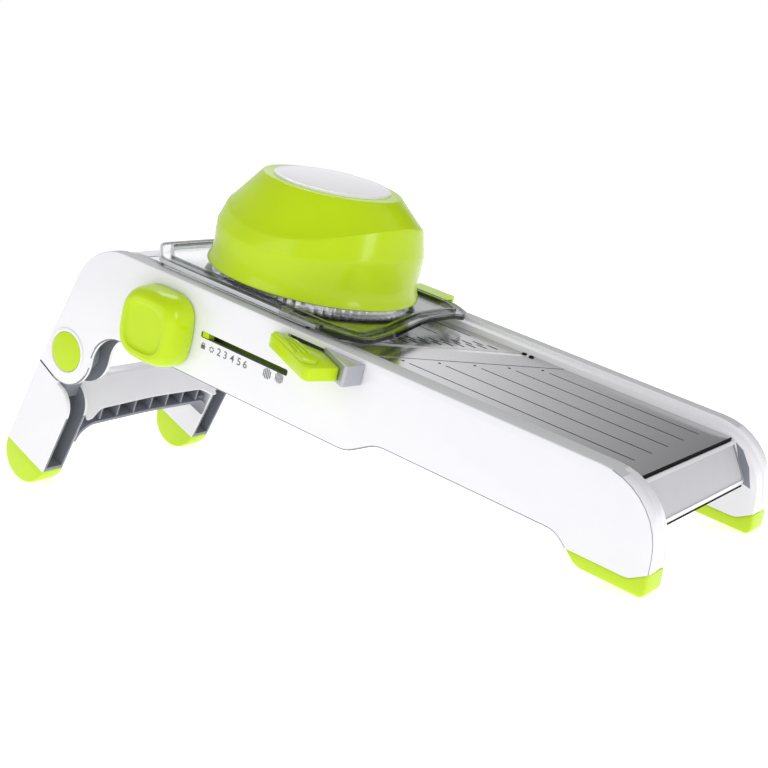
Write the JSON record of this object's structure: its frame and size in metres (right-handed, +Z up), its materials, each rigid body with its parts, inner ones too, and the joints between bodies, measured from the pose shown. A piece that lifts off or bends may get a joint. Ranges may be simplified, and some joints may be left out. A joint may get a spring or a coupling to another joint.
{
  "type": "mandoline slicer",
  "caption": "Kitchen mandoline slicer with fold-out rear stand, slanted blade, thickness dial, julienne lever and domed pusher on a clear sliding carriage.",
  "frame": {"origin": "on the floor under the middle of the whole object's box", "axes": "+X towards the low end of the rails, +Y away from the dial side, +Z up"},
  "size_m": [0.3798, 0.1568, 0.1684],
  "materials": {
    "white_abs": "gloss",
    "lime_abs": "gloss",
    "dark_abs": "satin",
    "grey_abs": "satin",
    "stainless": "brushed",
    "blade_steel": "ground",
    "clear_ps": "clear",
    "silver_abs": "satin"
  },
  "bodies": {
    "body": {"near_side_frame": "white_abs", "far_side_frame": "white_abs", "high_end_bridge": "white_abs", "outfeed_deck": "grey_abs", "outfeed_plate": "stainless", "end_cover": "white_abs", "near_low_foot": "lime_abs", "far_low_foot": "lime_abs", "slicing_blade": "blade_steel", "blade_screws": "blade_steel", "near_hinge_pin": "blade_steel", "far_hinge_pin": "blade_steel", "near_pivot_cap": "lime_abs", "far_pivot_cap": "lime_abs"},
    "stand": {"stand": "white_abs", "near_rear_foot": "lime_abs", "far_rear_foot": "lime_abs"},
    "dial": {"dial": "lime_abs", "dial_shaft": "dark_abs"},
    "pointer": {"pointer_rack": "lime_abs"},
    "ramp": {"ramp_plate": "stainless", "ramp_carrier": "grey_abs"},
    "comb": {"julienne_comb": "blade_steel"},
    "lever": {"lever_grip": "lime_abs", "lever_arm": "silver_abs"},
    "carriage": {"carriage_tray": "clear_ps", "guide_sleeve": "clear_ps", "serrated_ring": "blade_steel", "rail_clip": "lime_abs"},
    "pusher": {"dome": "lime_abs", "dome_cap": "white_abs", "plunger": "clear_ps", "spike_plate": "blade_steel"}
  },
  "joints": [
    {"name": "stand_fold", "type": "hinge", "parent": "body", "child": "stand", "pos_m": [-0.13786, 0.01155, 0.0738], "axis": [0, -1, 0], "range_deg": [0, 95]},
    {"name": "dial_turn", "type": "hinge", "parent": "body", "child": "dial", "pos_m": [-0.06634, -0.05345, 0.09223], "axis": [0, -1, 0], "range_deg": [0, 270]},
    {"name": "pointer_slide", "type": "slide", "parent": "body", "child": "pointer", "axis": [0.9622, 0, -0.2723], "range_m": [0, 0.04713]},
    {"name": "ramp_drop", "type": "slide", "parent": "body", "child": "ramp", "axis": [-0.2723, 0, -0.9622], "range_m": [0, 0.006]},
    {"name": "lever_slide", "type": "slide", "parent": "body", "child": "lever", "axis": [-0.9622, 0, 0.2723], "range_m": [0, 0.02]},
    {"name": "comb_rise", "type": "slide", "parent": "ramp", "child": "comb", "axis": [0.2723, 0, 0.9622], "range_m": [0, 0.0041]},
    {"name": "carriage_slide", "type": "slide", "parent": "body", "child": "carriage", "axis": [0.9622, 0, -0.2723], "range_m": [0, 0.12]},
    {"name": "pusher_lift", "type": "slide", "parent": "carriage", "child": "pusher", "axis": [0.2723, 0, 0.9622], "range_m": [0, 0.028]}
  ],
  "couplings": [
    {"joint": "dial_turn", "follows": "ramp_drop", "rad_per_m": 785.39},
    {"joint": "pointer_slide", "follows": "ramp_drop", "ratio": 7.8539},
    {"joint": "comb_rise", "follows": "lever_slide", "ratio": 0.2}
  ]
}
